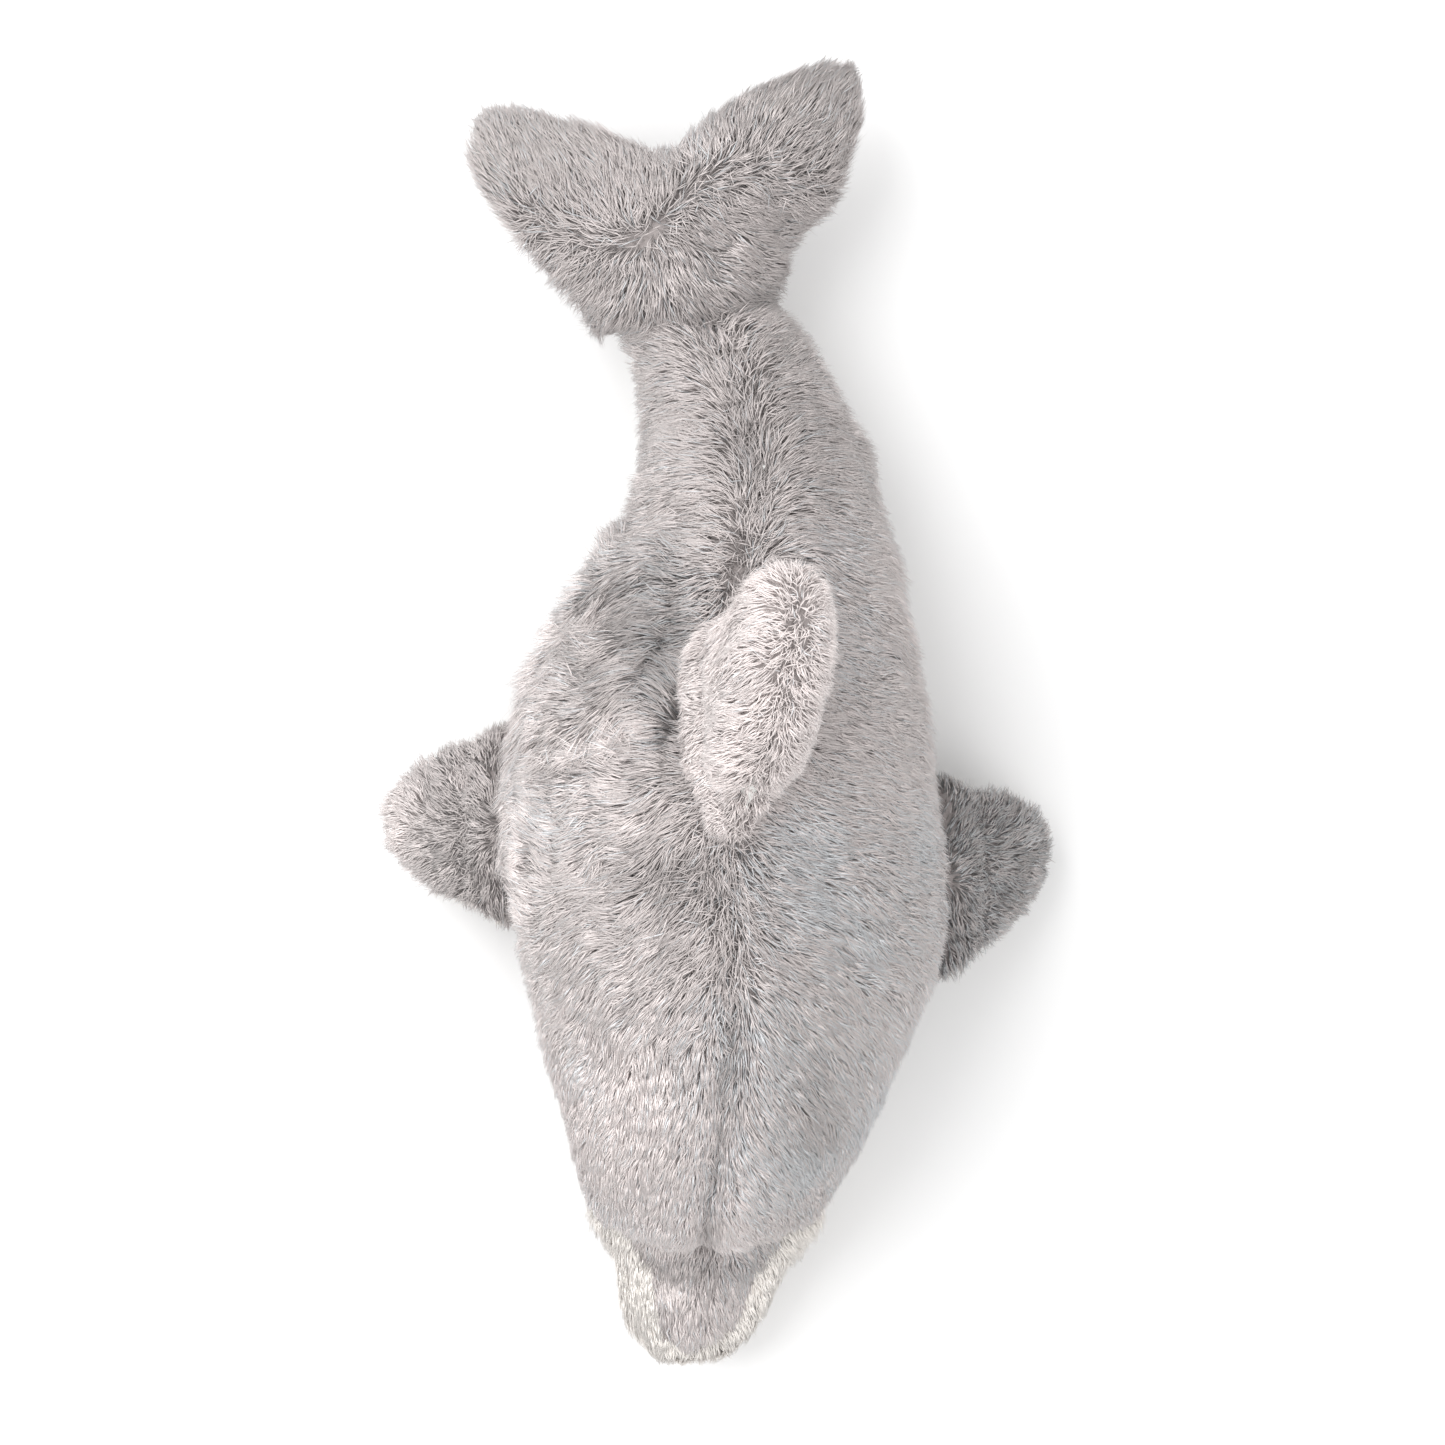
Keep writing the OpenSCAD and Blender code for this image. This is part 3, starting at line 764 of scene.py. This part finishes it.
def comb_body(surface, middle, back):
    """Sets how the pile lies, its length, its tone and how thickly it grows, for each vertex."""
    co, normals, seam, zones = surface["co"], surface["normals"], surface["seam"], surface["zones"]
    x, y, z = co.T
    parting = x - middle(y) - 5 * MM * value_noise(np.outer(y, (0, 1, 0)), 24 * MM, 90.0)
    side = np.tanh(parting / (8 * MM))
    upright = bump(parting, 6 * MM) * (normals[:, 2] > 0)
    head = smoothstep(-y, 0.06, 0.15)
    beak = smoothstep(-y, 0.198, 0.210)
    stem = smoothstep(y, 0.05, 0.11)
    under = smoothstep(-normals[:, 2], 0.2, 0.8)
    flank = 1 - smoothstep(np.abs(normals[:, 2]), 0.1, 0.6)
    across = 1.0 - (0.5 - 0.3 * side) * head - 0.25 * beak
    along = -0.45 - 0.75 * head + 0.4 * stem
    down = -0.75 * (1 - under) * (1 - beak)
    comb = np.stack([side * across * (1 - 0.7 * under), along, down], 1)
    crest = upright * (1 - 0.8 * head)
    on_fluke = smoothstep(back, -4 * MM, 10 * MM) * (zones != TORSO)
    fluke_way, fluke_upright = fluke_comb(co)
    comb = unit(comb) * (1 - on_fluke)[:, None] + fluke_way * on_fluke[:, None]
    upright = upright * (1 - on_fluke) + fluke_upright * on_fluke
    crest = crest * (1 - on_fluke) + 2 * fluke_upright * on_fluke
    restless = 0.35 + 0.9 * smoothstep(value_noise(co, 55 * MM, 2.0), -0.1, 0.45)
    restless *= 1 - 0.6 * smoothstep(x - middle(y), 0.0, 0.03) * (1 - stem)
    ruffled = shaggy(co)
    restless += 0.8 * ruffled
    swirl = 1.2 * value_noise(co, 26 * MM, 3.0) + 0.8 * value_noise(co, 12 * MM, 8.0)
    swirl *= restless * (1 - 0.6 * head) * (1 - beak)
    eye_far, eye_way = from_eyes(co)
    at_eye = bump(eye_far, EYE_PARTING)
    comb = turned(unit(comb), normals, swirl)
    surface["comb"] = comb * (1 - at_eye)[:, None] + 3 * eye_way * at_eye[:, None]
    thin = bump(seam, 3 * MM)
    smooth = smoothstep(-y, 0.08, 0.13) * smoothstep(-x, -0.01, 0.015)
    smooth = np.maximum(smooth, 0.7 * head) * (1 - beak) * (1 - under)
    surface["length"] = PILE * (1 + 0.15 * value_noise(co, 30 * MM, 12.0) - 0.3 * under - 0.2 * smooth
                                - 0.25 * beak - 0.2 * thin - 0.4 * at_eye + 0.15 * ruffled)
    surface["lean"] = (0.5 + 0.15 * value_noise(co, 25 * MM, 21.0) - 0.1 * head + 0.35 * flank - 0.2 * beak
                       + 0.45 * upright)
    mottle = 0.07 * value_noise(co, 55 * MM, 30.0) + 0.05 * value_noise(co, 14 * MM, 33.0)
    # Painted shade: the pile in the hollows of the back is darkened by their depth
    hollow_shade = dents(co, normals) / (5 * MM)
    on_tail = smoothstep(y, 0.07, 0.12) + 0.2 * (zones == FLUKES)
    faces_up = smoothstep(normals[:, 2], 0.0, 0.5)
    # Painted shadow: the pile on the beak just under the melon's front edge is darkened where the melon
    # overhangs it
    melon_edge_shadow = bump(y + 0.204, 6 * MM) * faces_up * smoothstep(-z, -0.075, -0.06)
    # Painted shadow: the pile along the crease at the root of the flukes is darkened
    at_crease = bump(back - 3 * MM, 7 * MM) * (zones != TORSO)
    surface["tone"] = (0.72 + mottle * (1 - 0.6 * smooth) + 0.08 * smooth + 0.10 * beak - 0.08 * thin
                       - 0.34 * hollow_shade - 0.09 * on_tail - 0.2 * melon_edge_shadow - 0.12 * at_crease)
    on_crown = head * (1 - beak) * (normals[:, 2] > 0)
    # Painted shade and light on the crown: the pile in the seam's groove is darkened and the ridge of pile
    # beside it lightened
    ridge = 0.10 * bump(parting - 8 * MM, 5 * MM)
    seam_groove_shade = 0.22 * bump(parting - 1 * MM, 2.5 * MM)
    surface["tone"] += (ridge - seam_groove_shade) * on_crown
    # Painted light and shade of the patches
    surface["tone"] += sum(amount * spot(co, place, reach) for place, reach, amount in LIT_AND_SHADED_PATCHES)
    surface["shade"] = ROOT_SHADE * (1 - 0.85 * smooth) * (1 + 0.5 * restless * (1 - head)) * (1 - 0.5 * beak)
    surface["spread"] = SPREAD * (1 - 0.5 * smooth - 0.65 * beak) + 0.8 * crest
    surface["wild"] = np.clip(restless, 0, 1.7) * (1 - 0.75 * np.maximum(smooth, beak)) * (1 - 0.5 * under)
    cool_side = smoothstep(x, 0.0, 0.04) * smoothstep(-y, 0.0, 0.05) * (1 - smoothstep(-y, 0.17, 0.2))
    cool_spots = smoothstep(value_noise(co, 45 * MM, 40.0), 0.0, 0.4)
    surface["cool"] = np.clip(0.06 + 0.6 * cool_spots * (0.35 + 0.65 * cool_side) + 0.25 * cool_side, 0, 1)
    surface["cover"] = (1 - 0.4 * under) * (1 - 0.2 * thin) * (1 + 0.3 * smooth + 0.5 * beak)
    low, high = np.array(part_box("left_eye"))
    bare = (high - low)[2] / 2 + EYE_EDGE
    surface["skip"] = lambda strands: from_eyes(strands["root"])[0] < bare


# ---------------------------------------------------------------- fins

def fin_pieces(names, body, hinge, axis, out, pile_length, comb_of, tone, shade, cool, wild, inset_of=None):
    """A padded fin sewn to the body along a hinge line. names are its two CAD panels, and the functions
    give the lie, the tone and the root's shade of its pile, and how far its cloth is drawn in."""
    co, faces = node_arrays(names + [body + "_filling"])
    # The root runs on into the body, a little wider than it is at the hinge
    reach = (co - hinge) @ out
    base = co[reach < 9 * MM]
    below = base - out * 13 * MM
    middle = hinge + axis * np.mean((base - hinge) @ axis)
    below = middle + (below - middle) * 1.06
    parts = [(co, faces), hull_arrays(np.vstack([base, below]))]
    co, faces = voxel_union(*join_arrays(parts), FIN_VOXEL)
    edges = edges_of(faces)
    co = relax(co, edges, 7)
    normals = vertex_normals(co, faces)
    far = np.array([distance_to(co, n) for n in names])
    seam = np.sort(far, axis=0)[1]
    panel = far.argmin(0)
    height = (co - hinge) @ out
    lumps = 1.0 * MM * value_noise(co, 28 * MM, 50.0)
    pucker = 1.2 * MM * bump(seam, 4 * MM)
    inset = FIN_INSET * smoothstep(height, 0.0, 10 * MM)
    if inset_of:
        inset = inset + inset_of(co, height)
    in_body = smoothstep(-height, -4 * MM, 0.0)
    co = inflate(co, faces, np.maximum(bump(seam, 3 * MM), in_body), FIN_SWELL)
    co = co + normals * (lumps - inset - pucker)[:, None]
    co = relax(co, edges, 1)
    co[:, 2] = np.maximum(co[:, 2], CLOTH_FLOOR)
    normals = vertex_normals(co, faces)
    surface = {"co": co, "faces": faces, "normals": normals}
    swirl = 0.7 * value_noise(co, 22 * MM, 60.0) + 0.6 * value_noise(co, 11 * MM, 63.0)
    way, upright = comb_of(co, height)
    surface["comb"] = turned(unit(way), normals, swirl)
    surface["length"] = pile_length * (1 + 0.1 * value_noise(co, 20 * MM, 66.0) - 0.15 * bump(seam, 3 * MM))
    surface["lean"] = 0.55 + 0.2 * value_noise(co, 18 * MM, 70.0) + 0.3 * upright
    surface["shade"] = shade(co, height)
    surface["spread"] = SPREAD + 0.9 * upright
    surface["wild"] = np.full(len(co), wild)
    surface["tone"] = tone(co, height) + 0.06 * value_noise(co, 15 * MM, 72.0) - 0.07 * bump(seam, 3 * MM)
    surface["cool"] = cool + 0.1 * value_noise(co, 30 * MM, 74.0)
    surface["cover"] = smoothstep(height, -9 * MM, -6 * MM) + 1e-6

    def attach(piece):
        start, end = hinge + out * FIN_BEND_START, hinge + out * FIN_BEND_END
        tuple(start)
        tuple(end)
        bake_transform(piece)

    for row, name in enumerate(names):
        furry_panel(name, surface, panel[faces[:, 0]] == row, name in CREAM_PANELS, attach)


def outward(names, hinge, axis):
    """Unit direction from a hinge to the middle of a fin, square to the hinge's axis."""
    low = np.min([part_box(n)[0] for n in names], axis=0)
    high = np.max([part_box(n)[1] for n in names], axis=0)
    out = unit((low + high) / 2 - hinge)
    return unit(out - axis * (out @ axis))


def dorsal_fin():
    names = ["dorsal_fin_left_panel", "dorsal_fin_right_panel"]
    out = outward(names, FIN_HINGE, FIN_AXIS)
    low, high = np.array(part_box(names[0]))
    middle_y, half_y = (low[1] + high[1]) / 2, (high[1] - low[1]) / 2
    side_way = np.cross(out, FIN_AXIS)

    def comb_of(co, height):
        """Away from the ridge on both sides, and outwards at the two ends."""
        ends = ((co[:, 1] - middle_y) / half_y) ** 3
        across = (co - FIN_HINGE) @ side_way + 2 * MM * value_noise(co, 20 * MM, 95.0)
        way = np.outer(np.tanh(across / (5 * MM)), side_way) + np.outer(ends, (0, 1, 0))
        return way - 0.45 * out + np.array((0, -0.25, 0)), bump(across, 5 * MM)

    # The fin's pile is lighter than the body's and lighter still towards its top: painted light, for a fin
    # that stands up into the lamps
    def tone(co, height):
        return 0.88 + 0.03 * smoothstep(height, 0.01, 0.05)

    def shade(co, height):
        return np.full(len(co), 0.5 * ROOT_SHADE)

    def inset_of(co, height):
        """The right face is full towards the tail, over a root that tapers, and the front end is narrow."""
        right = smoothstep(-((co - FIN_HINGE) @ side_way), 0.0, 8 * MM)
        full = bump(co[:, 1] - 0.036, 0.018) * bump(height - 26 * MM, 20 * MM) * right
        root = smoothstep(co[:, 1], 0.02, 0.04) * (1 - smoothstep(height, 4 * MM, 18 * MM))
        front = smoothstep(-co[:, 1], 0.014, 0.036)
        return (4 * root - 9 * full + 6 * front) * MM

    fin_pieces(names, "dorsal_fin", FIN_HINGE, FIN_AXIS, out, 0.66 * PILE, comb_of, tone, shade,
               cool=0.0, wild=0.8, inset_of=inset_of)


def flipper(side, root_tone, tip_tone, cool):
    """A side flipper, with the tones of its pile at the root and at the tip, and the share of cool grey."""
    joint = JOINTS[side + "_flipper_flap"]
    hinge, axis = np.array(joint["pos_m"]), np.array(joint["axis"])
    names = [f"{side}_flipper_top_panel", f"{side}_flipper_bottom_panel"]
    out = outward(names, hinge, axis)

    def comb_of(co, height):
        """From the middle of the root to the edges."""
        sideways = (co - hinge) @ axis / (24 * MM)
        way = np.outer(0.35 + height / (45 * MM), out) + np.outer(sideways, axis)
        return way, bump(height - 6 * MM, 6 * MM)

    def tone(co, height):
        return root_tone + (tip_tone - root_tone) * smoothstep(height, 0.018, 0.046)

    def shade(co, height):
        return 2 * ROOT_SHADE * (1 - 0.7 * smoothstep(height, 0.02, 0.04))

    fin_pieces(names, f"{side}_flipper", hinge, axis, out, 0.65 * PILE, comb_of, tone, shade,
               cool=cool, wild=1.0)


# ---------------------------------------------------------------- filling, eyes, room

# Fillings, the bodies that they ride on, and how far their cloth lies inside the CAD solids
FILLINGS = [("body_filling", "torso", BODY_INSET), ("tail_filling", "tail", BODY_INSET),
            ("fluke_filling", "flukes", SKIN_INSET), ("dorsal_fin_filling", "dorsal_fin", FIN_INSET),
            ("left_flipper_filling", "left_flipper", FIN_INSET),
            ("right_flipper_filling", "right_flipper", FIN_INSET)]


def filling_pieces():
    """Loose fibre that fills each part, a lumpy solid a little smaller than the space inside its cloth."""
    for node, body, inset in FILLINGS:
        co, faces = voxel_union(*node_arrays([node]), FILLING_VOXEL)
        edges = edges_of(faces)
        co = relax(co, edges, 3)
        normals = vertex_normals(co, faces)
        lumps = 1.3 * MM * value_noise(co, 14 * MM, 80.0) - 1.0 * MM - inset
        mesh = new_mesh(node + "_fibre", co + normals * lumps[:, None], faces)
        mesh.materials.append(FIBRE)
        piece = new_object(node + "_fibre", mesh)
        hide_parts(node)
        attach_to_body(piece, body)


def eyes():
    """Glossy black for the eyes and dull white nylon for the washers that lock them."""
    gloss, tree, shader = principled("eye_black", (0.012, 0.010, 0.010), 0.08)
    shader.inputs["Coat Weight"].default_value = 1.0
    shader.inputs["Coat Roughness"].default_value = 0.03
    shade = tree.nodes.new("ShaderNodeTexNoise")
    shade.inputs["Scale"].default_value = 220
    ramp = tree.nodes.new("ShaderNodeValToRGB")
    ramp.color_ramp.elements[0].color = (0.008, 0.006, 0.006, 1)
    ramp.color_ramp.elements[1].color = (0.03, 0.022, 0.018, 1)
    tree.links.new(shade.outputs["Fac"], ramp.inputs["Fac"])
    tree.links.new(ramp.outputs["Color"], shader.inputs["Base Color"])
    nylon, tree, shader = principled("washer_nylon", (0.8, 0.8, 0.77), 0.45)
    grain = uneven_gloss(tree, shader, 500, 0.35, 0.6)
    fine_relief(tree, shader, grain.outputs["Fac"], 0.2, 0.2 * MM)
    for side in ("left", "right"):
        for node, mat in ((side + "_eye", gloss), (side + "_eye_washer", nylon)):
            mesh = frame["nodes"][node].data
            mesh.materials.clear()
            mesh.materials.append(mat)


def area_light(name, place, target, size, power):
    """A round lamp that points at a place. Its size is in metres and its power in watts."""
    light = bpy.data.lights.new(name, "AREA")
    light.shape = "DISK"
    light.size = size
    light.energy = power
    obj = new_object(name, light)
    obj.location = place
    obj.rotation_euler = (Vector(target) - Vector(place)).to_track_quat("-Z", "Y").to_euler()


def room():
    """Pale floor, soft light, and a camera straight above with the tail at the top."""
    corners = np.array([(-3, -3, 0), (3, -3, 0), (3, 3, 0), (-3, 3, 0)])
    floor = new_object("floor", new_mesh("floor", corners, [(0, 1, 2, 3)]))
    pale, _, _ = principled("floor_pale", (0.9, 0.9, 0.9), 0.9)
    floor.data.materials.append(pale)
    world = bpy.data.worlds.new("studio")
    world.use_nodes = True
    sky = world.node_tree.nodes["Background"]
    sky.inputs["Color"].default_value = (1, 1, 1, 1)
    sky.inputs["Strength"].default_value = 0.9
    bpy.context.scene.world = world
    middle = (0, 0, 0.05)
    area_light("key", (-1.0, 0.45, 1.3), middle, size=1.9, power=26)
    area_light("fill", (0.9, -0.6, 1.5), middle, size=1.4, power=7)
    bpy.context.scene.view_settings.view_transform = "Standard"
    camera = bpy.data.cameras.new("camera")
    camera.lens = 120
    camera.sensor_width = 36
    # The picture is this wide at the level of the toy's outline
    width, level = 0.549, 45 * MM
    obj = new_object("camera", camera)
    obj.location = (2.2 * MM, -2.2 * MM, level + width * camera.lens / camera.sensor_width)
    obj.rotation_euler = (0, 0, 0)
    bpy.context.scene.camera = obj


room()
body_pieces()
dorsal_fin()
# The left flipper, away from the key lamp, gets much darker tones than the right one: painted shade
flipper("right", 0.55, 0.89, 0.0)
flipper("left", 0.38, 0.45, 0.35)
filling_pieces()
eyes()
